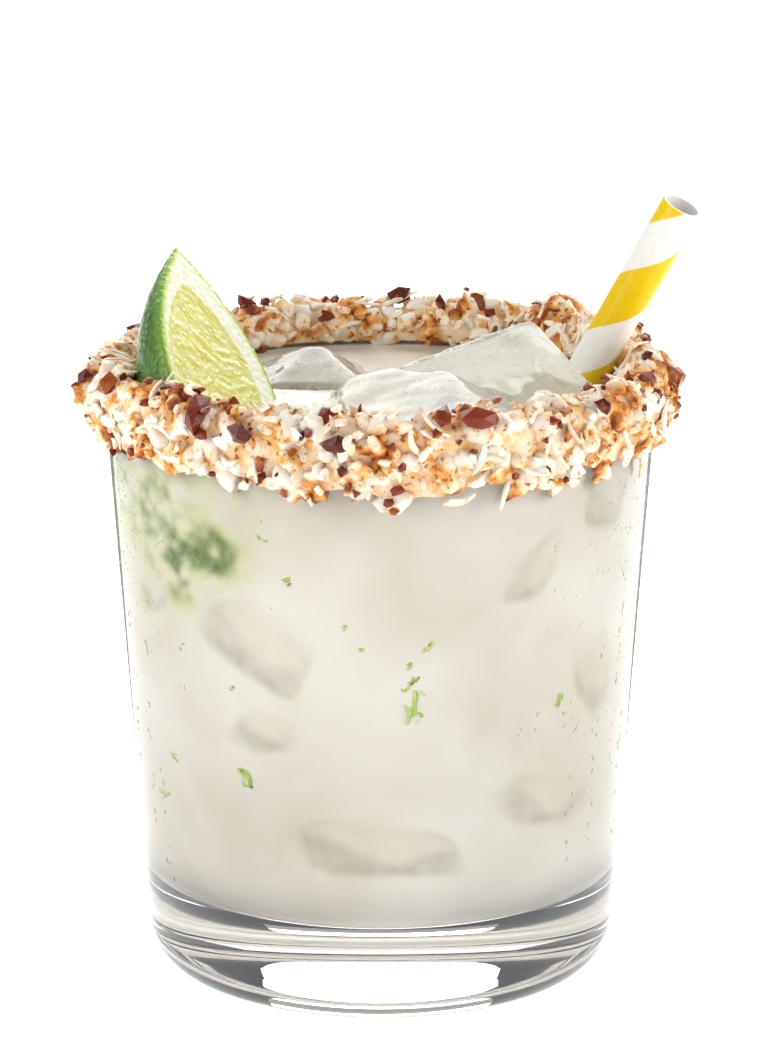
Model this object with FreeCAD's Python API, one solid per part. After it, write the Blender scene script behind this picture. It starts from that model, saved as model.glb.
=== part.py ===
"""Iced drink in a heavy-based tumbler with a crusted rim, a lime cheek, ice and a paper straw.

Millimetres, +Z up.  The origin is the centre of the foot ring that the glass stands on, and the
drinker looks along +Y.  Each piece is one solid and one STEP file in parts/.
"""
import FreeCAD, Part
import os
import random
from math import atan2, cos, exp, hypot, pi, radians, sin, sqrt

Vector = FreeCAD.Vector

# ---- glass -------------------------------------------------------------------------------
GLASS_HEIGHT = 96.3        # table to the top of the lip
RIM_RADIUS = 43.5          # outside, at the lip
HEEL_RADIUS = 37.1         # outside, where the straight side meets the heel
HEEL_ROUND = 7.4           # radius of the heel, and the height where it ends
WALL = 2.6                 # thickness of the side, whose lip is a full round
FLOOR_HEIGHT = 15.0        # top of the thick base
FLOOR_ROUND = 10.0         # inside corner between floor and side
PUNT_RADIUS = 26.5         # inner edge of the foot ring
PUNT_DEPTH = 1.6           # hollow under the base, at its centre

# ---- drink -------------------------------------------------------------------------------
FILL_DEPTH = 76.6          # drink above the floor of the glass
DRINK_GAP = 0.05           # film between the drink and everything that it touches

# ---- paper straw -------------------------------------------------------------------------
STRAW_OUTSIDE = 6.5        # diameter
STRAW_WALL = 0.45
STRAW_LENGTH = 116.0
STRAW_LEAN = 29.5          # degrees from upright
STRAW_HEADING = -25.0      # degrees from +X, the way it leans
STRAW_BEARING = 17.2       # degrees from +X, the way to where it passes the lip
STRAW_ROOM = 1.84          # between the straw and the inner side of the lip, measured level
STRAW_STAND = 4.0          # its lower end above the floor, where the inside corner stops it

# ---- lime cheek --------------------------------------------------------------------------
LIME_LENGTH = 50.0         # from tip to tip of the cut face
LIME_WIDTH = 29.0          # across the cut face
LIME_DEPTH = 12.4          # from the cut face to the outside of the rind
LIME_POINT = 0.95          # 0.5 would be an ellipse, 1 is a pointed lens
LIME_LEFT = 18.4           # degrees that its top leans towards -X
LIME_BACK = 30.0           # degrees that its top leans towards +Y
LIME_HEADING = -34.0       # degrees from +X, the way the cut face looks
LIME_BEARING = -154.4      # degrees from +X, the way from the middle of the glass to the lime
LIME_ROOM = 0.2            # between the lime's bulge and the inner side of the glass, about
LIME_RISE = 4.0            # middle of the cut face above the surface of the drink

# ---- ice ---------------------------------------------------------------------------------
ICE_EDGE = 3.5             # radius of the melted edges
ICE_LIKENESS = 0.9         # cosine past which two sides are too alike, or opposite, to bevel
ICE_GAP = 0.4              # least room between two blocks, and between ice and straw
ICE_BOTTOM = 19.5          # depth of the blocks below the surface of the drink
ICE_REACH = 120.0          # larger than any block, for the cutting tools

# ---- crusted rim -------------------------------------------------------------------------
CRUST_TOP = 2.3            # thickness over the lip
CRUST_OUTSIDE = 2.2        # thickness on the outer side
CRUST_INSIDE = 1.9         # thickness on the inner side
CRUST_DROP = 9.2           # how far it reaches down the outer side
CRUST_DROP_SWING = 1.8     # how much that varies
CRUST_LIFT = 0.5           # lower inner edge above the drink
CRUST_GAP = 0.08           # film between the crust and what it sits on or round
CRUST_EDGE = 0.45          # thickness left at its lower edges
CRUST_INNER_FADE = 0.12    # share of the way across over which it thins at the inner edge
CRUST_OUTER_FADE = 0.2     # the same at the outer edge
CRUST_LIP_SHARE = 0.4      # share of the way across where the lip is passed
CRUST_INNER_STEPS = 2      # stations up the inner side, over the lip and down the outer side
CRUST_LIP_STEPS = 6
CRUST_OUTER_STEPS = 4
CRUST_SECTORS = 110
CRUST_LUMPS = 170
CRUST_LUMP_HEIGHT = 1.8
CRUST_LUMP_LIMIT = 2.9     # most that lumps may add together
CRUST_LUMP_WIDTHS = (1.6, 3.2)
CRUST_SEED = 11

LIQUID_LEVEL = FLOOR_HEIGHT + FILL_DEPTH
WALL_SLOPE = (RIM_RADIUS - HEEL_RADIUS) / (GLASS_HEIGHT - HEEL_ROUND)


def outer_radius(height):
    """Radius of the straight outer side of the glass at a height above the table."""
    return HEEL_RADIUS + WALL_SLOPE * (height - HEEL_ROUND)


def inner_radius(height):
    return outer_radius(height) - WALL


def unit(x, y, z):
    direction = Vector(x, y, z)
    direction.normalize()
    return direction


def heading(angle):
    """Level unit vector at an angle in degrees from +X."""
    return Vector(cos(radians(angle)), sin(radians(angle)), 0)


def revolved(edges):
    """Solid of revolution about Z from the edges of a closed outline in the XZ plane."""
    face = Part.Face(Part.Wire(edges))
    return face.revolve(Vector(0, 0, 0), Vector(0, 0, 1), 360)


def line(start, end):
    return Part.LineSegment(Vector(start[0], 0, start[1]), Vector(end[0], 0, end[1])).toShape()


def arc(start, middle, end):
    points = [Vector(point[0], 0, point[1]) for point in (start, middle, end)]
    return Part.Arc(*points).toShape()


def bottom_corner(side_radius, floor, rounding):
    """Start, middle and end of the round between a level floor and a flaring side.

    side_radius gives the radius of the side at a height.
    """
    slope_angle = atan2(WALL_SLOPE, 1)
    centre_height = floor + rounding
    centre_radius = side_radius(centre_height) - rounding / cos(slope_angle)
    middle_angle = -(pi / 2 + slope_angle) / 2

    def on_round(angle):
        return centre_radius + rounding * cos(angle), centre_height + rounding * sin(angle)

    return on_round(-pi / 2), on_round(middle_angle), on_round(-slope_angle)


def make_glass():
    """Tumbler with a thick clear base, a shallow punt and a rounded lip."""
    lip_height = GLASS_HEIGHT - WALL / 2
    foot, heel, side = bottom_corner(outer_radius, 0, HEEL_ROUND)
    floor, corner, inside = bottom_corner(inner_radius, FLOOR_HEIGHT, FLOOR_ROUND)
    outer_lip = (outer_radius(lip_height), lip_height)
    inner_lip = (inner_radius(lip_height), lip_height)
    lip_top = (outer_lip[0] - WALL / 2, GLASS_HEIGHT)
    punt_edge = (PUNT_RADIUS, 0)
    punt_sphere = (PUNT_RADIUS ** 2 + PUNT_DEPTH ** 2) / (2 * PUNT_DEPTH)
    half_way = PUNT_RADIUS / 2
    punt_middle = (half_way, PUNT_DEPTH - punt_sphere + sqrt(punt_sphere ** 2 - half_way ** 2))
    return revolved([
        arc((0, PUNT_DEPTH), punt_middle, punt_edge),
        line(punt_edge, foot),
        arc(foot, heel, side),
        line(side, outer_lip),
        arc(outer_lip, lip_top, inner_lip),
        line(inner_lip, inside),
        arc(inside, corner, floor),
        line(floor, (0, FLOOR_HEIGHT)),
        line((0, FLOOR_HEIGHT), (0, PUNT_DEPTH)),
    ])


def straw_axis():
    """Unit vector up the straw."""
    return heading(STRAW_HEADING) * sin(radians(STRAW_LEAN)) + Vector(0, 0, cos(radians(STRAW_LEAN)))


def straw_foot():
    """Middle of the straw's lower end, on the axis that passes just inside the lip."""
    axis = straw_axis()
    rim_drop = STRAW_OUTSIDE / 2 * sin(radians(STRAW_LEAN))
    height = FLOOR_HEIGHT + rim_drop + STRAW_STAND
    lip_radius = inner_radius(GLASS_HEIGHT) - STRAW_OUTSIDE / 2 - STRAW_ROOM
    passing = heading(STRAW_BEARING) * lip_radius + Vector(0, 0, GLASS_HEIGHT)
    return passing - axis * ((GLASS_HEIGHT - height) / axis.z)


def make_straw(gap=0):
    """Paper tube.  A gap makes it thicker all round, for what is cut to fit it."""
    axis = straw_axis()
    foot = straw_foot() - axis * gap
    length = STRAW_LENGTH + 2 * gap
    outside = Part.makeCylinder(STRAW_OUTSIDE / 2 + gap, length, foot, axis)
    bore = Part.makeCylinder(STRAW_OUTSIDE / 2 - STRAW_WALL - gap, length, foot, axis)
    return outside.cut(bore)


def straw_envelope(gap):
    """The straw as a solid rod, with room round it."""
    return Part.makeCylinder(STRAW_OUTSIDE / 2 + gap, STRAW_LENGTH, straw_foot(), straw_axis())


def lime_frame():
    """Middle of the cut face, and the directions out of it, along it and across it."""
    left, back = sin(radians(LIME_LEFT)), sin(radians(LIME_BACK))
    along = Vector(-left, back, sqrt(1 - left ** 2 - back ** 2))
    out = heading(LIME_HEADING)
    out = out - along * out.dot(along)
    out.normalize()
    across = along.cross(out)
    to_wall = heading(LIME_BEARING)
    bulge = hypot(LIME_WIDTH / 2 * across.dot(to_wall), LIME_DEPTH * out.dot(to_wall))
    reach = inner_radius(LIQUID_LEVEL) - LIME_ROOM - bulge
    middle = to_wall * reach + Vector(0, 0, LIQUID_LEVEL + LIME_RISE)
    return middle, out, along, across


def make_lime(gap=0):
    """Cheek cut lengthwise off a lime: a flat face, pointed tips and a bulging rind.

    Half of a spindle, pressed flatter behind the cut face.  A gap makes it larger all round.
    """
    half_length = LIME_LENGTH / 2 + gap
    half_width = LIME_WIDTH / 2 + gap

    def side(share):
        return Vector(half_width * (1 - share ** 2) ** LIME_POINT, 0, half_length * share)

    outline = Part.BSplineCurve()
    outline.interpolate([side(step / 4) for step in range(4, -5, -1)])
    axis = Part.LineSegment(side(-1), side(1))
    face = Part.Face(Part.Wire([outline.toShape(), axis.toShape()]))
    spindle = face.revolve(Vector(0, 0, 0), Vector(0, 0, 1), 360)
    flatter = FreeCAD.Matrix()
    flatter.scale((LIME_DEPTH + gap) / half_width, 1, 1)
    spindle = spindle.transformGeometry(flatter)
    reach = LIME_LENGTH + LIME_WIDTH
    behind = Part.makeBox(reach, 2 * reach, 2 * reach, Vector(gap - reach, -reach, -reach))
    cheek = spindle.common(behind)
    middle, out, along, across = lime_frame()
    cheek.Placement = FreeCAD.Placement(middle, FreeCAD.Rotation(out, across, along, "ZXY"))
    return cheek


def facets_solid(triangles):
    """Closed solid from triangles, each of three vectors, wound outwards."""
    faces = [Part.Face(Part.makePolygon([a, b, c, a])) for a, b, c in triangles]
    return Part.Solid(Part.Shell(faces))


def band(lower, upper):
    """Triangles between two closed rows of points of the same length."""
    count = len(lower)
    triangles = []
    for index in range(count):
        after = (index + 1) % count
        triangles.append((lower[index], lower[after], upper[after]))
        triangles.append((lower[index], upper[after], upper[index]))
    return triangles


def beyond(point, direction):
    """Tool that removes everything past a plane through a point, which faces a direction."""
    half = ICE_REACH / 2
    slab = Part.makeBox(ICE_REACH, ICE_REACH, ICE_REACH, Vector(-half, -half, 0))
    slab.Placement = FreeCAD.Placement(point, FreeCAD.Rotation(Vector(0, 0, 1), direction))
    return slab


def bevels(sides):
    """Sides that take off the edge between each two sides, as deep as a melted round would."""
    taken = []
    for index, (point, direction) in enumerate(sides):
        for other_point, other in sides[index + 1:]:
            likeness = direction.dot(other)
            if abs(likeness) > ICE_LIKENESS:
                continue
            height, other_height = point.dot(direction), other_point.dot(other)
            share = (height - other_height * likeness) / (1 - likeness ** 2)
            other_share = (other_height - height * likeness) / (1 - likeness ** 2)
            edge = direction * share + other * other_share
            between = direction + other
            between.normalize()
            depth = ICE_EDGE * (sqrt(2 / (1 + likeness)) - 1)
            taken.append((edge - between * depth, between))
    return taken


def make_ice(sides, gap=0):
    """Block of ice with flat sides and melted edges.

    Each side is a point that it passes through and the direction that it faces.
    """
    middle = sum((point for point, _ in sides), Vector(0, 0, 0)) * (1 / len(sides))
    half = ICE_REACH / 4
    block = Part.makeBox(2 * half, 2 * half, 2 * half, middle - Vector(half, half, half))
    for point, direction in sides + bevels(sides):
        block = block.cut(beyond(point + direction * gap, direction))
    return block


def straw_side(near):
    """Side of a block that faces the straw and leaves it room, level with a point."""
    axis = straw_axis()
    nearest = straw_foot() + axis * (near - straw_foot()).dot(axis)
    away = nearest - near
    away.normalize()
    return nearest - away * (STRAW_OUTSIDE / 2 + ICE_GAP), away


def parting(point, direction):
    """Two sides that face each other across a gap, for two neighbouring blocks."""
    step = direction * (ICE_GAP / 2)
    return (point - step, direction), (point + step, direction * -1)


def ice_blocks(gap=0):
    """The three blocks that stand out of the drink."""

    def at(x, y, height):
        return Vector(x, y, LIQUID_LEVEL + height)

    front_right, right_front = parting(at(14.0, -2.5, 0), unit(0.62, 0.78, 0.0))
    left_right, right_left = parting(at(-1.2, 15.0, 0), unit(0.97, 0.2, 0.0))
    peak = at(22.5, 8.0, 15.4)
    left_peak = at(-11.0, 22.3, 4.6)
    bottom = at(0, 0, -ICE_BOTTOM)
    left_sides = [
        (left_peak, unit(0.0, -0.26, 0.97)), (left_peak, unit(-0.36, -0.1, 0.93)),
        (at(-9.4, 22.0, 4.3), unit(0.55, 0.05, 0.83)), (left_peak, unit(0.05, 0.85, 0.5)),
        (at(-21.5, 15.0, -1), unit(-0.93, 0.1, -0.3)), (at(-12.0, 5.5, -1), unit(-0.05, -0.85, -0.5)),
        (at(-10.0, 31.0, -2), unit(0.1, 0.95, -0.26)), (bottom, unit(0.05, 0.15, -0.99)), left_right,
    ]
    right_sides = [
        (peak, unit(0.493, -0.434, 0.754)), (peak, unit(-0.463, -0.475, 0.748)),
        (peak, unit(0.355, 0.922, -0.154)), (at(2.0, 14.0, 3.0), unit(-0.8, 0.05, 0.6)),
        (at(36.2, 1.0, -1.5), unit(0.95, 0.0, -0.31)), (at(28.0, -9.5, -1), unit(0.1, -0.93, -0.34)),
        (bottom, unit(0.1, 0.1, -0.99)), right_front, right_left, straw_side(at(20.0, 2.0, -6)),
    ]
    front_sides = [
        (at(3.0, -1.0, 4.0), unit(-0.2, -0.16, 0.96)), (at(14.0, -3.0, 4.3), unit(0.24, -0.1, 0.97)),
        (at(22.0, -8.0, 1.8), unit(0.7, -0.15, 0.7)), (at(-5.6, -4.0, 1.6), unit(-0.74, -0.05, 0.67)),
        (at(-7.6, -6.0, -1), unit(-0.93, -0.1, -0.35)), (at(24.8, -11.0, -1), unit(0.95, -0.05, -0.3)),
        (at(5.0, -28.0, -1), unit(0.05, -0.98, -0.15)), (at(0.0, 5.5, -1), unit(-0.1, 0.93, -0.35)),
        (bottom, unit(0.05, 0.0, -1.0)), front_right,
    ]
    return {
        "ice_left": make_ice(left_sides, gap),
        "ice_right": make_ice(right_sides, gap),
        "ice_front": make_ice(front_sides, gap),
    }


def make_drink(obstacles):
    """Drink up to its level, cut round what stands in it."""
    floor = FLOOR_HEIGHT + DRINK_GAP

    def drink_radius(height):
        return inner_radius(height) - DRINK_GAP

    start, corner, inside = bottom_corner(drink_radius, floor, FLOOR_ROUND)
    brim = (drink_radius(LIQUID_LEVEL), LIQUID_LEVEL)
    body = revolved([
        line((0, floor), start),
        arc(start, corner, inside),
        line(inside, brim),
        line(brim, (0, LIQUID_LEVEL)),
        line((0, LIQUID_LEVEL), (0, floor)),
    ])
    return body.cut(obstacles)


def crust_base(turn, drop):
    """Stations across the crust at one turn: place on the glass, outward direction, share.

    They run up the inner side, over the lip and down the outer side, and the share goes from 0
    at the inner lower edge to 1 at the outer lower edge.
    """
    lip_height = GLASS_HEIGHT - WALL / 2
    inner_low = LIQUID_LEVEL + CRUST_LIFT
    stations = []
    for step in range(CRUST_INNER_STEPS):
        height = inner_low + (lip_height - inner_low) * step / CRUST_INNER_STEPS
        stations.append((inner_radius(height) - CRUST_GAP, height, -1, 0))
    lip_middle = outer_radius(lip_height) - WALL / 2
    lip_reach = WALL / 2 + CRUST_GAP
    for step in range(CRUST_LIP_STEPS + 1):
        angle = pi - pi * step / CRUST_LIP_STEPS
        stations.append((
            lip_middle + lip_reach * cos(angle), lip_height + lip_reach * sin(angle),
            cos(angle), sin(angle),
        ))
    for step in range(1, CRUST_OUTER_STEPS + 1):
        height = lip_height - drop * step / CRUST_OUTER_STEPS
        stations.append((outer_radius(height) + CRUST_GAP, height, 1, 0))
    around = Vector(cos(turn), sin(turn), 0)
    placed = []
    for index, (radius, height, outward, upward) in enumerate(stations):
        place = around * radius + Vector(0, 0, height)
        direction = around * outward + Vector(0, 0, upward)
        placed.append((place, direction, index / (len(stations) - 1)))
    return placed


def crust_thickness(turn, share, direction, lumps):
    """Thickness of the crust: a coat that thins at both edges, with lumps on it."""
    if direction.z > 0:
        side = CRUST_INSIDE if share < CRUST_LIP_SHARE else CRUST_OUTSIDE
        coat = side + (CRUST_TOP - side) * direction.z
    else:
        coat = CRUST_INSIDE if share < CRUST_LIP_SHARE else CRUST_OUTSIDE
    edge = min(1, share / CRUST_INNER_FADE, (1 - share) / CRUST_OUTER_FADE)
    lumpy = 0
    for lump_turn, lump_share, width, height in lumps:
        apart = abs(turn - lump_turn)
        apart = min(apart, 2 * pi - apart) * RIM_RADIUS
        if apart < 3 * width:
            across = (share - lump_share) * 2 * CRUST_DROP
            lumpy += height * exp(-(apart ** 2 + across ** 2) / width ** 2)
    return CRUST_EDGE + (coat - CRUST_EDGE + min(lumpy, CRUST_LUMP_LIMIT)) * edge


def make_crust(obstacles):
    """Lumpy ring of toasted flakes over the lip, cut round the straw and the lime."""
    chance = random.Random(CRUST_SEED)
    lumps = [
        (
            chance.uniform(0, 2 * pi), chance.uniform(0.1, 0.95),
            chance.uniform(*CRUST_LUMP_WIDTHS), chance.uniform(-0.5, 1) * CRUST_LUMP_HEIGHT,
        )
        for _ in range(CRUST_LUMPS)
    ]
    phases = [chance.uniform(0, 2 * pi) for _ in range(4)]
    waves = list(zip((3, 7, 13, 29), (0.35, 0.3, 0.35, 0.3), phases))
    loops = []
    for sector in range(CRUST_SECTORS):
        turn = 2 * pi * sector / CRUST_SECTORS
        swing = sum(size * sin(count * turn + phase) for count, size, phase in waves)
        stations = crust_base(turn, CRUST_DROP + CRUST_DROP_SWING * swing)
        inner = [place for place, _, _ in stations]
        outer = [
            place + direction * crust_thickness(turn, share, direction, lumps)
            for place, direction, share in stations
        ]
        loops.append(inner + outer[::-1])
    triangles = []
    for here, there in zip(loops, loops[1:] + loops[:1]):
        triangles += band(here, there)
    return facets_solid(triangles).cut(obstacles)


def build():
    ice = ice_blocks()
    sunk = list(ice_blocks(DRINK_GAP).values())
    parts = {
        "glass": make_glass(),
        "drink": make_drink(sunk + [make_lime(DRINK_GAP), make_straw(DRINK_GAP)]),
        "rim_crust": make_crust([make_lime(CRUST_GAP), straw_envelope(CRUST_GAP)]),
        "lime_wedge": make_lime(),
        "straw": make_straw(),
    }
    parts.update(ice)
    return parts


def main():
    os.makedirs("parts", exist_ok=True)
    for name, shape in build().items():
        solids = shape.Solids
        print(name, "solids", len(solids), "valid", shape.isValid(), "volume", round(shape.Volume, 1))
        shape.exportStep(os.path.join("parts", name + ".step"))


main()
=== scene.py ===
"""Looks of an iced coconut margarita: clear tumbler, milky drink, toasted rim, lime, ice, straw.

Metres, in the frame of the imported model: +Z up the axis of the glass, +Y away from the drinker.
"""

import math
import random

import bmesh
import bpy
import numpy as np
from mathutils import Matrix, Vector, noise
from mathutils.bvhtree import BVHTree


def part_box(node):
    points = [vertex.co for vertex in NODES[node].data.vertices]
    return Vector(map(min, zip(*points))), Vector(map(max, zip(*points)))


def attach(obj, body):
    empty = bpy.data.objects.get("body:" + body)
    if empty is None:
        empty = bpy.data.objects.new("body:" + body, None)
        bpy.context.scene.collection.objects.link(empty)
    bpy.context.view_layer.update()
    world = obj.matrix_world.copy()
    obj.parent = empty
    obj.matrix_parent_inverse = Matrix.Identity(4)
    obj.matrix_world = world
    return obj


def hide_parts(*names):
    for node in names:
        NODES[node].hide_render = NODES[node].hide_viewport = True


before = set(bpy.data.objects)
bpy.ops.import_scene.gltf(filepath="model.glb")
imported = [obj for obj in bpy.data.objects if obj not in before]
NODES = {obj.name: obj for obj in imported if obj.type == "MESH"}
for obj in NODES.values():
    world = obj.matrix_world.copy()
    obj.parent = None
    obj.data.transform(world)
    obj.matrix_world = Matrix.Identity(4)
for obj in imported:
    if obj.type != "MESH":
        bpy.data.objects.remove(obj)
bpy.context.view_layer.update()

MM = 0.001

# ---- measures read from the frame ----------
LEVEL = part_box("drink")[1].z
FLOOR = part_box("drink")[0].z
DRINK_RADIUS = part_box("drink")[1].x
GLASS_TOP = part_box("glass")[1].z

# ---- measures that the looks add ----------
WALL = 2.6 * MM
SIDE_SLOPE = 6.4 / 88.9          # how much the side flares for each metre up
FLOOR_ROUND = 10.0 * MM
INTO_WALL = 0.35 * MM            # how far the drink reaches into the glass
LIP_HEIGHT = GLASS_TOP - WALL / 2
OUTER_RADIUS = DRINK_RADIUS + WALL + SIDE_SLOPE * (GLASS_TOP - LEVEL)
LIP_RADIUS = OUTER_RADIUS - WALL / 2
SEED = 7


def outer_radius(height):
    return OUTER_RADIUS - SIDE_SLOPE * (GLASS_TOP - height)


# ---- meshes ----------
def make_object(name, vertices, faces, smooth=True, material=None):
    mesh = bpy.data.meshes.new(name)
    mesh.from_pydata([tuple(v) for v in vertices], [], [tuple(f) for f in faces])
    mesh.validate()
    mesh.polygons.foreach_set("use_smooth", [smooth] * len(mesh.polygons))
    obj = bpy.data.objects.new(name, mesh)
    bpy.context.scene.collection.objects.link(obj)
    if material:
        mesh.materials.append(material)
    return obj


def set_attribute(obj, name, values):
    """Stores one colour, (r, g, b, a), for each vertex."""
    attribute = obj.data.color_attributes.new(name, "FLOAT_COLOR", "POINT")
    attribute.data.foreach_set("color", np.asarray(values, np.float32).ravel())


def grid_faces(rows, columns, closed=True):
    """Quads of a grid of points kept row after row, whose rows may close on themselves."""
    faces = []
    for row in range(rows - 1):
        for column in range(columns if closed else columns - 1):
            after = (column + 1) % columns
            start, above = row * columns, (row + 1) * columns
            faces.append((start + column, start + after, above + after, above + column))
    return faces


def copy_node(node, name):
    """New object with a copy of a CAD node's mesh."""
    copy = bpy.data.objects.new(name, NODES[node].data.copy())
    bpy.context.scene.collection.objects.link(copy)
    return copy


def dress(obj, material):
    """Gives an object its own material instead of the one it came with."""
    obj.data.materials.clear()
    obj.data.materials.append(material)


def mesh_tree(mesh):
    """Ray and distance lookups on a mesh, in its own axes."""
    points = [v.co.copy() for v in mesh.vertices]
    return BVHTree.FromPolygons(points, [tuple(p.vertices) for p in mesh.polygons])


# ---- materials ----------
class Nodes:
    """Short names for building a material's nodes."""

    def __init__(self, name):
        self.material = bpy.data.materials.new(name)
        self.material.use_nodes = True
        self.tree = self.material.node_tree
        self.shader = self.tree.nodes["Principled BSDF"]
        self.output = self.tree.nodes["Material Output"]

    def add(self, kind, **settings):
        node = self.tree.nodes.new("ShaderNode" + kind)
        for key, value in settings.items():
            setattr(node, key, value)
        return node

    def link(self, source, target):
        self.tree.links.new(source, target)
        return target

    def fill(self, socket, value):
        if hasattr(value, "is_output"):
            self.link(value, socket)
        else:
            socket.default_value = value

    def place(self):
        return self.add("TexCoord").outputs["Object"]

    def attribute(self, name, output="Color"):
        return self.add("Attribute", attribute_name=name).outputs[output]

    def noise(self, scale, detail=3.0, roughness=0.5, distortion=0.0):
        node = self.add("TexNoise")
        node.inputs["Scale"].default_value = scale
        node.inputs["Detail"].default_value = detail
        node.inputs["Roughness"].default_value = roughness
        node.inputs["Distortion"].default_value = distortion
        self.link(self.place(), node.inputs["Vector"])
        return node.outputs["Fac"]

    def cells(self, scale):
        node = self.add("TexVoronoi")
        node.inputs["Scale"].default_value = scale
        self.link(self.place(), node.inputs["Vector"])
        return node.outputs["Distance"]

    def ramp(self, value, stops):
        node = self.add("ValToRGB")
        elements = node.color_ramp.elements
        while len(elements) < len(stops):
            elements.new(0.5)
        for element, (position, colour) in zip(elements, stops):
            element.position = position
            element.color = (*colour, 1)
        self.link(value, node.inputs["Fac"])
        return node.outputs["Color"]

    def span(self, value, low, high, to_low=0.0, to_high=1.0):
        node = self.add("MapRange")
        self.fill(node.inputs["Value"], value)
        for key, number in (("From Min", low), ("From Max", high)):
            node.inputs[key].default_value = number
        for key, number in (("To Min", to_low), ("To Max", to_high)):
            node.inputs[key].default_value = number
        return node.outputs["Result"]

    def mix(self, factor, first, second):
        node = self.add("Mix", data_type="RGBA")
        self.fill(node.inputs[0], factor)
        self.fill(node.inputs[6], first if hasattr(first, "is_output") else (*first, 1))
        self.fill(node.inputs[7], second if hasattr(second, "is_output") else (*second, 1))
        return node.outputs[2]

    def math(self, operation, first, second=0.0):
        node = self.add("Math", operation=operation)
        self.fill(node.inputs[0], first)
        self.fill(node.inputs[1], second)
        return node.outputs[0]

    def bump(self, height, strength=0.5, distance=0.0005, before=None):
        node = self.add("Bump")
        node.inputs["Strength"].default_value = strength
        node.inputs["Distance"].default_value = distance
        self.link(height, node.inputs["Height"])
        if before:
            self.link(before, node.inputs["Normal"])
        return node.outputs["Normal"]

    def set(self, **values):
        for key, value in values.items():
            self.fill(self.shader.inputs[key.replace("_", " ")], value)

    def pass_light(self, tint=(1, 1, 1, 1)):
        """Lets lamps through clear material, so that what it holds is lit."""
        clear = self.add("BsdfTransparent")
        clear.inputs["Color"].default_value = tint
        path = self.add("LightPath")
        mix = self.add("MixShader")
        self.link(path.outputs["Is Shadow Ray"], mix.inputs[0])
        self.link(self.shader.outputs[0], mix.inputs[1])
        self.link(clear.outputs[0], mix.inputs[2])
        self.link(mix.outputs[0], self.output.inputs["Surface"])


def glass_material():
    nodes = Nodes("clear_glass")
    smear = nodes.noise(60, 2)
    nodes.set(Base_Color=(1, 1, 1, 1), Transmission_Weight=1.0, IOR=1.5)
    nodes.set(Roughness=nodes.span(smear, 0.35, 0.75, 0.0, 0.02))
    nodes.pass_light((0.96, 0.97, 0.97, 1))
    return nodes.material


def water_material():
    nodes = Nodes("water_drops")
    nodes.set(Base_Color=(1, 1, 1, 1), Transmission_Weight=1.0, IOR=1.33, Roughness=0.0)
    nodes.pass_light()
    return nodes.material


def drink_material():
    """Thin coconut milk, veiling what is sunk near the wall, whose colours hold painted light and shade on
    the sunk ice.
    """
    nodes = Nodes("milky_drink")
    cloud = nodes.noise(34, 3, 0.5, distortion=0.8)
    milk = nodes.ramp(cloud, [(0.32, (0.76, 0.705, 0.60)), (0.66, (0.89, 0.855, 0.78))])
    # The veil colour holds the lime's green and the sunk ice, with painted light and shade on the ice.
    veil = nodes.attribute("veil")
    strength = nodes.attribute("veil", "Alpha")
    grain = nodes.noise(420, 3, 0.6)
    broken = nodes.math("MULTIPLY", strength, nodes.span(grain, 0.3, 0.62, 0.7, 1.0))
    nodes.set(Base_Color=nodes.mix(broken, milk, veil))
    nodes.set(Roughness=0.16, IOR=1.35, Subsurface_Scale=0.0012)
    nodes.set(Subsurface_Weight=nodes.span(strength, 0.0, 0.6, 0.2, 0.0))
    nodes.set(Subsurface_Radius=(1.0, 0.85, 0.6))
    ripple = nodes.noise(90, 2)
    nodes.set(Normal=nodes.bump(ripple, 0.15, 0.0004))
    return nodes.material


def ice_material():
    """Cloudy wet ice: a clear skin over a grey-white heart, with tiny bubbles."""
    nodes = Nodes("ice")
    cloud = nodes.noise(85, 4, 0.6, distortion=0.6)
    bubbles = nodes.span(nodes.cells(1000), 0.0, 0.26, 1.0, 0.0)
    heart = nodes.ramp(cloud, [
        (0.32, (0.72, 0.73, 0.69)), (0.55, (0.85, 0.855, 0.82)), (0.72, (0.93, 0.925, 0.90)),
    ])
    bubbled = nodes.mix(nodes.math("MULTIPLY", bubbles, 0.8), heart, (0.95, 0.95, 0.92))
    nodes.set(Base_Color=bubbled, IOR=1.31)
    nodes.set(Roughness=0.07, Transmission_Weight=nodes.span(cloud, 0.35, 0.7, 0.9, 0.5))
    dents = nodes.bump(nodes.noise(130, 2), 0.25, 0.0010)
    nodes.set(Normal=nodes.bump(bubbles, 0.2, 0.0002, dents))
    nodes.pass_light((0.85, 0.86, 0.85, 1))
    return nodes.material


# Colours from white coconut to burnt, the dark chips' colours and the brown of a speck.
COCONUT_TONES = [
    (0.0, (0.93, 0.88, 0.79)), (0.34, (0.92, 0.74, 0.51)), (0.54, (0.86, 0.44, 0.12)),
    (0.74, (0.62, 0.20, 0.03)), (1.0, (0.22, 0.04, 0.012)),
]
CHIP_TONES = [(0.0, (0.25, 0.03, 0.008)), (0.6, (0.075, 0.008, 0.004)), (1.0, (0.40, 0.09, 0.015))]
SPECK = (0.30, 0.07, 0.015)


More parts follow.
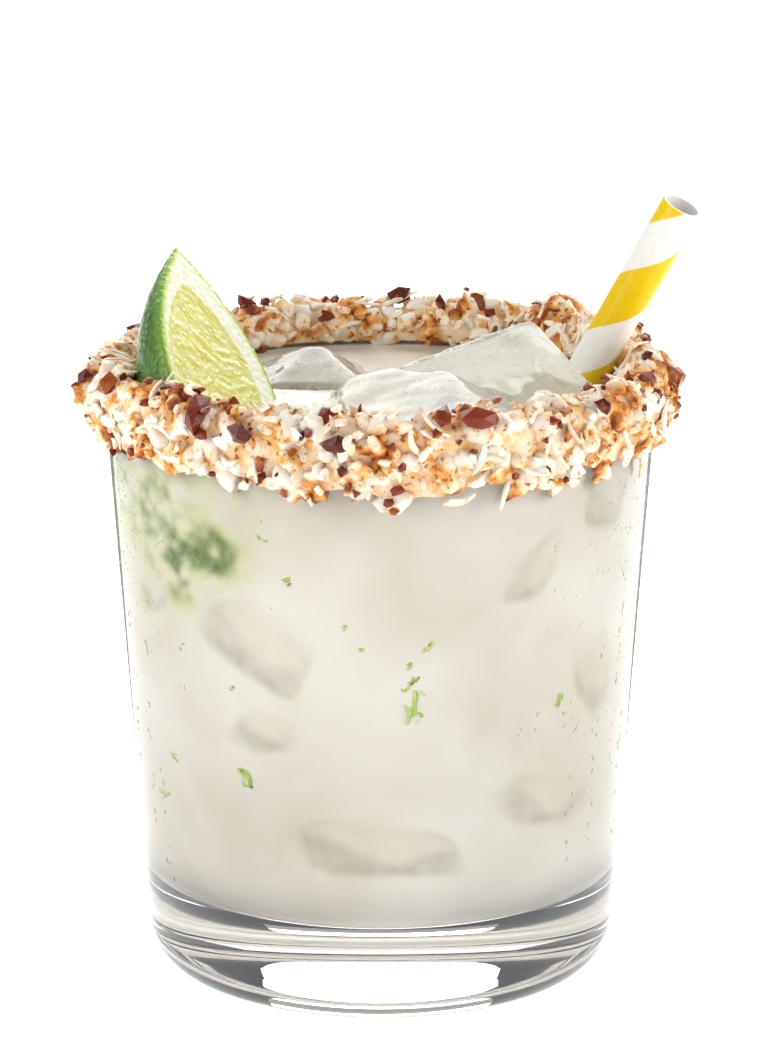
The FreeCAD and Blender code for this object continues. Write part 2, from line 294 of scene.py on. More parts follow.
def crust_material(name, tones, gloss, colour_noise=500):
    """Toasted flakes: each carries a tone, from 0 for the first colour to 1 for the last."""
    nodes = Nodes(name)
    tone = nodes.attribute("tone", "Fac")
    blotch = nodes.span(nodes.noise(colour_noise, 3, 0.6), 0.3, 0.7, -0.22, 0.22)
    shade = nodes.math("ADD", tone, blotch)
    specks = nodes.span(nodes.noise(1000, 2, 0.5), 0.58, 0.68)
    near_brown = nodes.span(shade, 0.15, 0.5)
    toasted = nodes.mix(nodes.math("MULTIPLY", specks, near_brown), nodes.ramp(shade, tones), SPECK)
    nodes.set(Base_Color=toasted, Roughness=gloss, Specular_IOR_Level=0.35)
    nodes.set(Subsurface_Weight=0.1, Subsurface_Scale=0.0010, Subsurface_Radius=(1.0, 0.7, 0.4))
    fine = nodes.noise(1500, 3, 0.6)
    nodes.set(Normal=nodes.bump(fine, 0.35, 0.0002))
    return nodes.material


STRAW_RADIUS = 3.25 * MM
STRAW_SKIN = 0.12 * MM           # depth of the printed colour
STRIPE_PITCH = 20.5 * MM
STRIPE_SHARE = 0.54              # share of the pitch that is yellow
STRIPE_EDGE = 0.012


def straw_material(foot, axis):
    """Waxed paper with a wide yellow stripe wound round white."""
    nodes = Nodes("paper_straw")
    across = axis.orthogonal().normalized()
    around = axis.cross(across)
    place = nodes.add("VectorMath", operation="SUBTRACT")
    nodes.link(nodes.place(), place.inputs[0])
    place.inputs[1].default_value = foot

    def along(direction):
        dot = nodes.add("VectorMath", operation="DOT_PRODUCT")
        nodes.link(place.outputs[0], dot.inputs[0])
        dot.inputs[1].default_value = direction
        return dot.outputs["Value"]

    turn = nodes.math("ARCTAN2", along(around), along(across))
    turns = nodes.math("DIVIDE", turn, 2 * math.pi)
    rise = nodes.math("DIVIDE", along(axis), STRIPE_PITCH)
    phase = nodes.math("FRACT", nodes.math("SUBTRACT", rise, turns))
    edge = nodes.ramp(phase, [
        (0.0, (0, 0, 0)), (STRIPE_EDGE, (1, 1, 1)),
        (STRIPE_SHARE, (1, 1, 1)), (STRIPE_SHARE + STRIPE_EDGE, (0, 0, 0)),
    ])
    fibre = nodes.noise(900, 4, 0.65)
    white = nodes.ramp(fibre, [(0.3, (0.86, 0.85, 0.82)), (0.7, (0.93, 0.925, 0.90))])
    yellow = nodes.ramp(fibre, [(0.3, (0.82, 0.54, 0.0)), (0.7, (0.90, 0.63, 0.002))])
    outside = nodes.mix(edge, white, yellow)
    sideways = nodes.math("SQRT", nodes.math(
        "ADD", nodes.math("POWER", along(across), 2), nodes.math("POWER", along(around), 2)))
    skin = nodes.math("GREATER_THAN", sideways, STRAW_RADIUS - STRAW_SKIN)
    nodes.set(Base_Color=nodes.mix(skin, (0.88, 0.87, 0.85), outside), Roughness=0.3)
    nodes.set(Specular_IOR_Level=0.25)
    nodes.set(Subsurface_Weight=0.1, Subsurface_Scale=0.0006)
    nodes.set(Normal=nodes.bump(nodes.math("ADD", fibre, edge), 0.12, 0.00012))
    return nodes.material


# ---- stage ----------
def make_stage():
    nodes = Nodes("floor")
    tone = nodes.ramp(nodes.noise(3, 2), [(0.3, (0.90, 0.90, 0.90)), (0.7, (0.92, 0.92, 0.92))])
    nodes.set(Base_Color=tone, Roughness=0.7, Specular_IOR_Level=0.2)
    nodes.set(Emission_Color=(1, 1, 1, 1), Emission_Strength=0.5)
    floor = make_object("floor", [(-4, -4, 0), (4, -4, 0), (4, 4, 0), (-4, 4, 0)], [(0, 1, 2, 3)], False,
                        nodes.material)
    world = bpy.data.worlds.new("studio")
    bpy.context.scene.world = world
    world.use_nodes = True
    world.node_tree.nodes["Background"].inputs["Color"].default_value = (1.0, 0.995, 0.985, 1)
    world.node_tree.nodes["Background"].inputs["Strength"].default_value = 0.32


def add_light(name, place, target, size, power):
    lamp = bpy.data.lights.new(name, "AREA")
    lamp.shape = "RECTANGLE"
    lamp.size, lamp.size_y = size
    lamp.energy = power
    obj = bpy.data.objects.new(name, lamp)
    bpy.context.scene.collection.objects.link(obj)
    obj.location = place
    obj.rotation_euler = (Vector(target) - Vector(place)).to_track_quat("-Z", "Y").to_euler()


def dark_material(name):
    nodes = Nodes(name)
    nodes.set(Base_Color=(0.012, 0.014, 0.025, 1), Roughness=0.8)
    return nodes.material


def hide_card(card, mirrored=False):
    """Leaves a card to be seen through clear pieces only, and in mirror images if asked."""
    card.visible_camera = False
    card.visible_shadow = False
    card.visible_diffuse = False
    card.visible_glossy = mirrored


def add_flag(name, place, size, angle):
    """Upright dark card, which darkens the edges of clear pieces."""
    wide, tall = size
    corners = [(-wide / 2, 0, 0), (wide / 2, 0, 0), (wide / 2, 0, tall), (-wide / 2, 0, tall)]
    card = make_object(name, corners, [(0, 1, 2, 3)], False, dark_material(name))
    card.location = place
    card.rotation_euler = (0, 0, angle)
    hide_card(card)


SECTOR_STEPS = 12
SECTOR_LIFT = 0.02 * MM


def add_dark_floor(name, start, sweep, reaches, mirrored=False):
    """Dark sector of the floor, from a turn in degrees from +Y and between two radii."""
    vertices, faces = [], []
    for step in range(SECTOR_STEPS + 1):
        turn = math.radians(start + sweep * step / SECTOR_STEPS)
        for reach in reaches:
            vertices.append((reach * math.sin(turn), reach * math.cos(turn), SECTOR_LIFT))
    for step in range(SECTOR_STEPS):
        faces.append((2 * step, 2 * step + 1, 2 * step + 3, 2 * step + 2))
    sector = make_object(name, vertices, faces, False, dark_material(name))
    hide_card(sector, mirrored)


CAMERA_PLACE = (0, -0.7061, 0.2492)
CAMERA_TARGET = (0, 0, 0.070)


def make_camera():
    camera = bpy.data.cameras.new("camera")
    camera.lens = 159.6
    camera.sensor_width = 36
    camera.shift_x = 0.00913
    camera.shift_y = 0.01188
    obj = bpy.data.objects.new("camera", camera)
    bpy.context.scene.collection.objects.link(obj)
    obj.location = CAMERA_PLACE
    obj.rotation_euler = (Vector(CAMERA_TARGET) - obj.location).to_track_quat("-Z", "Y").to_euler()
    bpy.context.scene.camera = obj


# ---- standing ice ----------
DENT_WIDTH = 9 * MM
ICE_VOXEL = 0.6 * MM
ICE_DENT = 0.4 * MM


def soften(obj, voxel, smooth_turns, dent, seed):
    """Melts a faceted block: fine even mesh, rounded edges and shallow dents."""
    remesh = obj.modifiers.new("remesh", "REMESH")
    remesh.mode = "VOXEL"
    remesh.voxel_size = voxel
    smooth = obj.modifiers.new("smooth", "SMOOTH")
    smooth.iterations = smooth_turns
    smooth.factor = 0.5
    depsgraph = bpy.context.evaluated_depsgraph_get()
    mesh = bpy.data.meshes.new_from_object(obj.evaluated_get(depsgraph))
    obj.modifiers.clear()
    obj.data = mesh
    normals = [vertex.normal.copy() for vertex in mesh.vertices]
    for vertex, normal in zip(mesh.vertices, normals):
        place = vertex.co / DENT_WIDTH + Vector((seed, 0, 0))
        push = noise.noise(place) + 0.4 * noise.noise(place * 2.7)
        vertex.co += normal * push * dent
    mesh.polygons.foreach_set("use_smooth", [True] * len(mesh.polygons))


def make_ice(material):
    blocks = []
    for index, node in enumerate(("ice_left", "ice_right", "ice_front")):
        block = copy_node(node, node + "_melted")
        soften(block, ICE_VOXEL, 16, ICE_DENT, 10 + index)
        dress(block, material)
        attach(block, "root")
        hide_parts(node)
        blocks.append(block)
    return blocks


# ---- sunk ice ----------
# Turn round the glass from the front, in degrees towards +X, height of the middle above the
# table, width, height and depth, how far the front lies behind the wall (below 0 the wall cuts
# it flat) and roll in degrees.
SUNK_ICE = [
    (-27, 61.5, 22, 15, 16, -4.4, 30), (-28, 47, 12, 8, 12, -1.8, -10), (-1, 29, 30, 12, 22, -4.2, 10),
    (35, 73, 8, 16, 12, -2.4, 38), (58, 82, 14, 15, 14, -3.2, 10), (42, 35, 19, 12, 16, -3.0, 14),
    (58, 53, 12, 20, 14, -2.2, -18), (-60, 66, 10, 8, 12, -2.4, 0), (112, 60, 18, 16, 16, -3.6, 15),
    (148, 38, 20, 16, 18, -4.0, -12), (178, 70, 16, 18, 18, -3.4, 20), (-112, 40, 18, 15, 16, -3.8, 8),
    (-140, 74, 15, 14, 16, -3.4, -18), (-165, 30, 16, 12, 16, -3.0, 5), (-88, 55, 12, 16, 14, -2.4, 12),
]


BLOCK_CORNERS = 11
BLOCK_TURN = 2.4                 # turn in radians from one corner to the next
BLOCK_REACH = 0.58


def ice_block(chance):
    """Uneven block of about one unit with rounded edges."""
    block = bmesh.new()
    for corner in range(BLOCK_CORNERS):
        turn_in = corner * BLOCK_TURN + chance.uniform(-0.35, 0.35)
        lift = 1 - 2 * (corner + 0.5) / BLOCK_CORNERS
        flat = math.sqrt(1 - lift ** 2) * chance.uniform(0.8, 1.1)
        spot = (flat * math.cos(turn_in), lift * chance.uniform(0.9, 1.1), flat * math.sin(turn_in))
        block.verts.new(Vector(spot) * BLOCK_REACH)
    hull = bmesh.ops.convex_hull(block, input=block.verts)
    loose = [part for part in hull["geom_interior"] if isinstance(part, bmesh.types.BMVert)]
    bmesh.ops.delete(block, geom=loose, context="VERTS")
    bmesh.ops.bevel(block, geom=block.edges[:], offset=0.07, segments=3, affect="EDGES", profile=0.6)
    return block


def sunk_ice(chance):
    """Lookups on the blocks of ice pressed to the wall, which only show through the milk."""
    whole = bmesh.new()
    for turn, height, wide, tall, deep, behind, roll in SUNK_ICE:
        block = ice_block(chance)
        size = Matrix.Diagonal((wide * MM, deep * MM, tall * MM, 1))
        lean = Matrix.Rotation(math.radians(chance.uniform(-14, 14)), 4, "Z")
        block.transform(Matrix.Rotation(math.radians(roll), 4, "Y") @ lean @ size)
        nearest = min(vertex.co.y for vertex in block.verts)
        level = height * MM
        wall = outer_radius(level) - WALL
        block.transform(Matrix.Translation((0, -wall - nearest + behind * MM, level)))
        block.transform(Matrix.Rotation(math.radians(turn), 4, "Z"))
        mesh = bpy.data.meshes.new("block")
        block.to_mesh(mesh)
        whole.from_mesh(mesh)
        block.free()
    mesh = bpy.data.meshes.new("sunk_ice")
    whole.to_mesh(mesh)
    whole.free()
    return mesh_tree(mesh)


# ---- drink ----------
DRINK_TURNS = 400
WALL_ROWS = 128
TOP_ROWS = 56
OUTSIDE = 8 * MM                 # how far outside the wall the looks inwards start
SEEN_INTO = 10 * MM              # how far inside the wall they end
ICE_FADE = 1.7 * MM              # depth of milk that hides most of the ice
FLOOR_DIP = 0.2 * MM             # how far the milk reaches into the glass's floor
FLOOR_STEPS = 6
CORNER_STEPS = 12
FIRST_VEIL_ROW = 8               # the rows before it lie on the floor
BRIM_CLIMB = 0.5 * MM            # how far the milk climbs the wall
CLIMB_FADE = 0.7 * MM
RIPPLE = 0.12 * MM
RIPPLE_WIDTH = 7 * MM
UNDER_ICE = 40 * MM              # how far under the level the looks up at the ice start
INTO_ICE = 0.4 * MM              # how far the milk reaches into the ice over it
ICE_CLIMB = 0.35 * MM
ICE_CLIMB_FADE = 0.6 * MM
ICE_CLIMB_REACH = 3 * MM
# Painted light and shade on the sunk ice seen through the milk: the colour of a facet turned away from the
# painted light, then of one turned towards it.
ICE_PAINTED_SHADE = Vector((0.36, 0.32, 0.22))
ICE_PAINTED_LIGHT = Vector((0.76, 0.70, 0.56))
# Painted shade on the edges of the sunk ice, where a facet turns edge-on to the wall.
ICE_PAINTED_EDGE_SHADE = Vector((0.24, 0.22, 0.14))
LIME_VEIL = Vector((0.11, 0.20, 0.0))
LIME_HAZE = Vector((0.62, 0.70, 0.02))
# Turn from the front, height, width, tallness and strength of each green haze in the milk.
GREEN = [
    (-41, 74.5, 9, 4.5, 1.6), (-50, 71, 9, 5, 1.3), (-55, 78, 18, 10, 0.9), (-64, 64, 4, 2.5, 0.9),
    (-74, 84, 14, 10, 0.9), (150, 76, 12, 6, 0.5),
]


def drink_profile():
    """Radius and height from the middle of the floor up the side to the brim."""
    low = FLOOR - FLOOR_DIP
    slope = math.atan(SIDE_SLOPE)

    def side(height):
        return outer_radius(height) - WALL + INTO_WALL

    centre = side(low + FLOOR_ROUND) - FLOOR_ROUND / math.cos(slope)
    profile = [(centre * step / FLOOR_STEPS, low) for step in range(1, FLOOR_STEPS)]
    for step in range(CORNER_STEPS + 1):
        angle = -math.pi / 2 + (math.pi / 2 - slope) * step / CORNER_STEPS
        profile.append((centre + FLOOR_ROUND * math.cos(angle), low + FLOOR_ROUND * (1 + math.sin(angle))))
    start = profile[-1][1]
    for row in range(1, WALL_ROWS + 1):
        height = start + (LEVEL + BRIM_CLIMB - start) * row / WALL_ROWS
        profile.append((side(height), height))
    return profile


def surface_height(x, y, ice_trees):
    """Height of the drink's surface: climbs the wall, ripples and makes room for the ice."""
    reach = math.hypot(x, y)
    brim = DRINK_RADIUS + INTO_WALL
    climb = BRIM_CLIMB * math.exp(-max(0, brim - reach) / CLIMB_FADE)
    ripple = RIPPLE * noise.noise(Vector((x, y, 0)) / RIPPLE_WIDTH)
    height = LEVEL + climb + ripple
    for tree in ice_trees:
        hit = tree.ray_cast(Vector((x, y, LEVEL - UNDER_ICE)), Vector((0, 0, 1)))
        if hit[0] and hit[0].z < LEVEL:
            height = min(height, hit[0].z + INTO_ICE)
        elif hit[0] is None:
            gap = tree.find_nearest(Vector((x, y, LEVEL)))[3]
            if gap < ICE_CLIMB_REACH:
                height += ICE_CLIMB * math.exp(-gap / ICE_CLIMB_FADE)
    return height


def green_at(place):
    """Strength of the green that drifts off the lime at a place on the drink's side."""
    turn = math.degrees(math.atan2(place.x, -place.y))
    shown = 0.0
    for middle, level, wide, tall, strength in GREEN:
        away = (turn - middle + 180) % 360 - 180
        reach = (away / wide) ** 2 + ((place.z - level * MM) / (tall * MM)) ** 2
        shown = max(shown, strength * math.exp(-reach))
    fuzz = noise.noise(place / (3.4 * MM)) + 0.7 * noise.noise(place / (1.3 * MM))
    fuzz = fuzz + 0.4 * noise.noise(place / (0.6 * MM))
    return shown * max(0.0, min(1.3, 0.78 + 1.1 * fuzz))


def veil_at(place, inward, ice_trees):
    """Colour and strength of what shows through the milk at a place on the drink's side; the sunk ice gets
    painted light and shade on its facets and painted shade at its edges.
    """
    strength = min(1.0, green_at(place))
    colour = LIME_HAZE.lerp(LIME_VEIL, max(0.0, min(1.0, (strength - 0.3) * 1.7)))
    for tree in ice_trees:
        hit = tree.ray_cast(place - inward * OUTSIDE, inward, OUTSIDE + SEEN_INTO)
        if not hit[0]:
            continue
        depth = max(0.0, hit[3] - OUTSIDE)
        cloud = 0.85 + 0.3 * noise.noise(place / (2.5 * MM))
        shown = min(0.75, 0.66 * cloud * math.exp(-depth / ICE_FADE))
        if shown > strength:
            sideways = inward.cross(Vector((0, 0, 1)))
            # Painted light and shade: each facet is lit from a fixed direction, up, outward and to one side.
            lit = hit[1].dot(Vector((0, 0, 0.75)) - inward * 0.45 + sideways * 0.5)
            strength = shown
            colour = ICE_PAINTED_SHADE.lerp(ICE_PAINTED_LIGHT, max(0.0, min(1.0, 0.35 + 0.75 * lit)))
            # Painted shade: facets turned edge-on to the wall are darkened towards the edge shade colour.
            edge = 1 - min(1.0, abs(hit[1].dot(inward)))
            colour = colour.lerp(ICE_PAINTED_EDGE_SHADE, 0.8 * edge ** 2)
    return colour, strength


def drink_shape(profile, ice_trees):
    """Rings up the side and in over the surface, closed by a point at each end."""
    vertices = []
    for radius, height in profile:
        for step in range(DRINK_TURNS):
            turn = 2 * math.pi * step / DRINK_TURNS
            vertices.append((radius * math.cos(turn), radius * math.sin(turn), height))
    brim = profile[-1][0]
    for row in range(1, TOP_ROWS):
        radius = brim * (1 - row / TOP_ROWS)
        for step in range(DRINK_TURNS):
            turn = 2 * math.pi * step / DRINK_TURNS
            x, y = radius * math.cos(turn), radius * math.sin(turn)
            vertices.append((x, y, surface_height(x, y, ice_trees)))
    rows = len(profile) + TOP_ROWS - 1
    faces = grid_faces(rows, DRINK_TURNS)
    bottom, top = len(vertices), len(vertices) + 1
    vertices += [(0, 0, profile[0][1]), (0, 0, surface_height(0, 0, ice_trees))]
    last = (rows - 1) * DRINK_TURNS
    for step in range(DRINK_TURNS):
        after = (step + 1) % DRINK_TURNS
        faces.append((bottom, after, step))
        faces.append((top, last + step, last + after))
    return vertices, faces


def drink_veils(vertices, rows, ice_trees):
    """Colour and strength of the veil at each vertex, with painted light and shade on the sunk ice, softened
    a little along the side.
    """
    veils = np.zeros((len(vertices), 4), np.float32)
    veils[:, :3] = ICE_PAINTED_SHADE
    for row in range(FIRST_VEIL_ROW, rows):
        for step in range(DRINK_TURNS):
            index = row * DRINK_TURNS + step
            place = Vector(vertices[index])
            inward = -Vector((place.x, place.y, 0)).normalized()
            colour, strength = veil_at(place, inward, ice_trees)
            veils[index] = (*colour, strength)
    side = veils[:rows * DRINK_TURNS].reshape(rows, DRINK_TURNS, 4)
    side[1:-1] = (side[:-2] + 2 * side[1:-1] + side[2:]) / 4
    side[:] = (np.roll(side, 1, 1) + 2 * side + np.roll(side, -1, 1)) / 4
    return veils


def make_drink(material, standing, sunk):
    profile = drink_profile()
    standing_trees = [mesh_tree(block.data) for block in standing]
    vertices, faces = drink_shape(profile, standing_trees)
    drink = make_object("drink_milk", vertices, faces, True, material)
    set_attribute(drink, "veil", drink_veils(vertices, len(profile), standing_trees + [sunk]))
    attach(drink, "root")
    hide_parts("drink")


# ---- crust ----------
class Heap:
    """Many small shapes gathered into one mesh, each with its own tone."""

    def __init__(self):
        self.vertices, self.faces, self.tones = [], [], []
        self.count = 0

    def add(self, points, faces, transform, tones):
        moved = points @ np.array(transform.to_3x3()).T + np.array(transform.translation)
        self.vertices.append(moved)
        self.faces += [tuple(index + self.count for index in face) for face in faces]
        self.tones.append(tones)
        self.count += len(points)

    def build(self, name, material, smooth):
        obj = make_object(name, np.concatenate(self.vertices), self.faces, smooth, material)
        tones = np.concatenate(self.tones)
        set_attribute(obj, "tone", np.stack([tones, tones, tones, np.ones_like(tones)], 1))
        return obj


def plate_shape(chance, length, width, thick):
    """Thin bent flake with a ragged outline."""
    sides = 7
    bend = chance.uniform(-0.5, 0.9)
    rings = []
    for share, level in ((0.86, 0.5), (1.0, 0.0), (0.86, -0.5)):
        ring = []
        for side in range(sides):
            turn = 2 * math.pi * (side + 0.3 * chance.uniform(-1, 1)) / sides
            reach = share * chance.uniform(0.72, 1.1)
            x, y = length / 2 * reach * math.cos(turn), width / 2 * reach * math.sin(turn)
            lift = bend * (x / length) ** 2 * length * 0.6
            ring.append((x, y, lift + level * thick))
        rings += ring
    rings += [(0, 0, thick * 0.5), (0, 0, -thick * 0.5)]
    faces = []
    for side in range(sides):
        after = (side + 1) % sides
        faces += [(side, sides + side, sides + after, after)]
        faces += [(sides + side, 2 * sides + side, 2 * sides + after, sides + after)]
        faces += [(3 * sides, side, after), (3 * sides + 1, 2 * sides + after, 2 * sides + side)]
    return np.array(rings), faces


def shred_shape(chance, length, width):
    """Long curved shred, thicker in the middle."""
    stations, sides = 7, 5
    bow = chance.uniform(0.05, 0.3) * length
    twist = chance.uniform(-1.2, 1.2)
    points = []
    for station in range(stations):
        share = station / (stations - 1) * 2 - 1
        girth = width / 2 * (0.45 + 0.55 * (1 - share ** 2)) * chance.uniform(0.85, 1.1)
        for side in range(sides):
            turn = 2 * math.pi * side / sides + twist * share
            points.append((
                share * length / 2, bow * share ** 2 + girth * math.cos(turn), 0.6 * girth * math.sin(turn)))
    faces = grid_faces(stations, sides)
    faces += [tuple(range(sides))[::-1], tuple(range((stations - 1) * sides, stations * sides))]
    return np.array(points), faces


def crumb_shape(chance, size, sharp):
    """Small rough lump."""
    block = bmesh.new()
    bmesh.ops.create_icosphere(block, subdivisions=1, radius=0.5)
    points = np.array([tuple(v.co) for v in block.verts])
    faces = [tuple(v.index for v in face.verts) for face in block.faces]
    block.free()
    stretch = [size * chance.uniform(low, high) for low, high in ((0.8, 1.3), (0.6, 1), (0.45, 0.8))]
    rough = np.array([chance.uniform(1 - sharp, 1 + sharp) for _ in points])
    return points * rough[:, None] * np.array(stretch), faces


def lump_shape(chance, size):
    """Soft uneven clump of grated coconut."""
    block = bmesh.new()
    bmesh.ops.create_icosphere(block, subdivisions=2, radius=0.5)
    faces = [tuple(v.index for v in face.verts) for face in block.faces]
    start = Vector((chance.uniform(0, 90), chance.uniform(0, 90), 0))
    points = []
    for vertex in block.verts:
        rough = noise.noise(vertex.co * 3.2 + start) * 0.55 + noise.noise(vertex.co * 8 + start) * 0.22
        points.append(tuple(vertex.co * (1 + rough)))
    block.free()
    stretch = [size * chance.uniform(low, high) for low, high in ((0.8, 1.25), (0.6, 0.95), (0.5, 0.8))]
    return np.array(points) * np.array(stretch), faces


def toasting(points, seat):
    """How brown each point is: toasted in patches."""
    tones = []
    for point in points:
        place = seat @ Vector(point)
        patch = noise.noise(place / (6.0 * MM)) * 0.85 + noise.noise(place / (1.9 * MM)) * 0.7
        tones.append(0.38 + patch)
    return np.clip(np.array(tones), 0, 1)


def crust_samples(chance, amount):
    """Places on the outside of the CAD crust, with the outward direction there."""
    mesh = NODES["rim_crust"].data
    mesh.calc_loop_triangles()
    candidates = []
    for triangle in mesh.loop_triangles:
        centre = sum((mesh.vertices[i].co for i in triangle.vertices), Vector()) / 3
        lip = Vector((centre.x, centre.y, 0)).normalized()
        height = min(centre.z, LIP_HEIGHT)
        lip = lip * (outer_radius(height) - WALL / 2) + Vector((0, 0, height))
        outward = centre - lip
        if outward.length > WALL / 2 + 0.25 * MM and outward.normalized().dot(triangle.normal) > 0.15:
            candidates.append((triangle, outward.normalized()))
    areas = np.cumsum([triangle.area for triangle, _ in candidates])
    places = []
    for _ in range(amount):
        pick = min(len(candidates) - 1, int(np.searchsorted(areas, chance.random() * areas[-1])))
        triangle, outward = candidates[pick]
        a, b = sorted((chance.random(), chance.random()))
        corners = [mesh.vertices[i].co for i in triangle.vertices]
        place = corners[0] * a + corners[1] * (b - a) + corners[2] * (1 - b)
        places.append((place, (triangle.normal + outward).normalized()))
    return places


def laid(place, normal, chance, tilt, sink):
    """Transform that lays a shape on the crust, turned at random and tipped a little."""
    upright = normal.to_track_quat("Z", "X").to_matrix().to_4x4()
    spin = Matrix.Rotation(chance.uniform(0, 2 * math.pi), 4, "Z")
    tip = Matrix.Rotation(chance.gauss(0, tilt), 4, "X") @ Matrix.Rotation(chance.gauss(0, tilt), 4, "Y")
    return Matrix.Translation(place - normal * sink) @ upright @ spin @ tip


LUMPS = 640
FLAKES = 360
SHREDS = 130
CRUMBS = 170
LUMP_ROOM = 1.6 * MM             # least room from the middle of a lump or shred to lime and straw
FLAKE_ROOM = 1.0 * MM            # the same for a flake or a crumb
BIG_CHIP_REACH = 4.6 * MM        # from the middle of the lip to the middle of a big chip
# Turn round the rim from the front, in degrees towards +X, angle above level across the
# crust, and length.
BIG_CHIPS = [
    (19, 42, 5.6), (-10, 62, 4.2), (-37, 35, 5.4), (-26, 10, 4.4), (-8, 0, 4.4), (12, 55, 3.2),
    (47, 30, 3.4), (-66, 40, 3.6), (-82, 20, 3.2), (66, 60, 3.4), (84, 15, 3.6), (176, 70, 5.0),
    (158, 100, 5.6), (142, 80, 3.8), (-150, 70, 3.4), (120, 50, 3.4), (-120, 40, 3.6), (-168, 30, 3.4),
]


def is_clear(place, room, garnish):
    return all(tree.find_nearest(place)[3] >= room for tree in garnish)


def heap_of_lumps(chance, garnish):
    lumps = Heap()
    for place, normal in crust_samples(chance, LUMPS):
        points, faces = lump_shape(chance, chance.uniform(2.6, 5.0) * MM)
        if is_clear(place, LUMP_ROOM, garnish):
            seat = laid(place, normal, chance, 0.5, chance.uniform(0.5, 1.5) * MM)
            lumps.add(points, faces, seat, toasting(points, seat))
    return lumps


def heap_of_flakes(chance, garnish):
    flakes = Heap()
    for place, normal in crust_samples(chance, FLAKES):
        length = chance.uniform(2.2, 4.6) * MM
        width = length * chance.uniform(0.4, 0.75)
        points, faces = plate_shape(chance, length, width, chance.uniform(0.4, 0.7) * MM)
        if is_clear(place, FLAKE_ROOM, garnish):
            seat = laid(place, normal, chance, 0.45, chance.uniform(-0.6, 0.4) * MM)
            flakes.add(points, faces, seat, toasting(points, seat) * chance.uniform(0.3, 1.1))
    return flakes


def heap_of_shreds(chance, garnish):
    shreds = Heap()
    for place, normal in crust_samples(chance, SHREDS):
        length = chance.uniform(3.5, 7.0) * MM
        points, faces = shred_shape(chance, length, chance.uniform(0.9, 1.7) * MM)
        if is_clear(place, LUMP_ROOM, garnish):
            tones = np.full(len(points), chance.uniform(0.0, 0.3))
            shreds.add(points, faces, laid(place, normal, chance, 0.3, -0.3 * MM), tones)
    return shreds


def heap_of_chips(chance, garnish):
    """Dark crumbs anywhere, and the big chips where they stand out."""
    chips = Heap()
    for place, normal in crust_samples(chance, CRUMBS):
        points, faces = crumb_shape(chance, chance.uniform(0.8, 2.4) * MM, 0.42)
        if is_clear(place, FLAKE_ROOM, garnish):
            tones = np.full(len(points), chance.random())
            chips.add(points, faces, laid(place, normal, chance, 0.5, -0.5 * MM), tones)
    for turn, rise, size in BIG_CHIPS:
        angle, slant = math.radians(turn - 90), math.radians(rise)
        around = Vector((math.cos(angle), math.sin(angle), 0))
        normal = (around * math.cos(slant) + Vector((0, 0, math.sin(slant)))).normalized()
        place = around * LIP_RADIUS + Vector((0, 0, LIP_HEIGHT)) + normal * BIG_CHIP_REACH
        points, faces = crumb_shape(chance, size * MM, 0.36)
        seat = laid(place, normal, chance, 0.25, 0)
        chips.add(points, faces, seat, np.full(len(points), chance.random()))
    return chips


def make_core():
    core = copy_node("rim_crust", "crust_core")
    shrink_core(core)
    dress(core, crust_material("crust_core", COCONUT_TONES, 0.65, 260))
    set_attribute(core, "tone", np.full((len(core.data.vertices), 4), 0.42))
    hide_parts("rim_crust")
    return core


def make_crust(garnish):
    """Toasted coconut over a smaller core, kept clear of the lime and the straw."""
    chance = random.Random(SEED + 1)
    lumps = heap_of_lumps(chance, garnish)
    flakes = heap_of_flakes(chance, garnish)
    shreds = heap_of_shreds(chance, garnish)
    chips = heap_of_chips(chance, garnish)
    coconut = crust_material("coconut_flakes", COCONUT_TONES, 0.55)
    shred = crust_material("coconut_shreds", COCONUT_TONES, 0.5)
    lump = crust_material("toasted_lumps", COCONUT_TONES, 0.5)
    dark = crust_material("dark_chips", CHIP_TONES, 0.2)
    pieces = [
        flakes.build("crust_flakes", coconut, False), shreds.build("crust_shreds", shred, True),
        lumps.build("crust_lumps", lump, True), chips.build("crust_dark_chips", dark, False),
        make_core(),
    ]
    for piece in pieces:
        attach(piece, "root")


def shrink_core(core):
    """Draws the core in towards the lip, to leave room for the flakes on it."""
    for vertex in core.data.vertices:
        place = vertex.co
        height = min(place.z, LIP_HEIGHT)
        reach = Vector((place.x, place.y, 0)).normalized() * (outer_radius(height) - WALL / 2)
        lip = reach + Vector((0, 0, height))
        outward = place - lip
        extra = outward.length - WALL / 2
        if extra > 0.4 * MM:
            vertex.co = lip + outward.normalized() * (WALL / 2 + extra * 0.6)
        if height < LIP_HEIGHT:
            vertex.co.z = LIP_HEIGHT - (LIP_HEIGHT - vertex.co.z) * 0.84


# ---- lime ----------
LIME_HALF_LENGTH = 25.0 * MM
LIME_HALF_WIDTH = 14.5 * MM
LIME_POINT = 0.95                # how pointed the outline is, 0.5 for an ellipse
LIME_LEFT = math.sin(math.radians(18.4))
LIME_BACK = math.sin(math.radians(30))
LIME_HEADING = math.radians(-34)
LIME_DEPTH = 12.4 * MM
LIME_BEARING = math.radians(-154.4)
LIME_ROOM = 0.2 * MM             # between the lime's bulge and the wall
LIME_RISE = 4.0 * MM             # of the middle above the drink
CUT_FACE = 0.35 * MM             # depth that still counts as the cut face
RIND = 0.8 * MM
LIME_VOXEL = 0.33 * MM
FLESH_SHIFT = -1.6 * MM
FLESH_HALF_WIDTH = 11.3 * MM
FLESH_HALF_LENGTH = 18.2 * MM
VESICLE_HUB = (17 * MM, 1 * MM)      # the vesicles point at this place across and along the face


def lime_directions():
    """Directions out of the cut face, along it and across it."""
    along = Vector((-LIME_LEFT, LIME_BACK, math.sqrt(1 - LIME_LEFT ** 2 - LIME_BACK ** 2)))
    out = Vector((math.cos(LIME_HEADING), math.sin(LIME_HEADING), 0))
    out = (out - along * out.dot(along)).normalized()
    return out, along, along.cross(out)


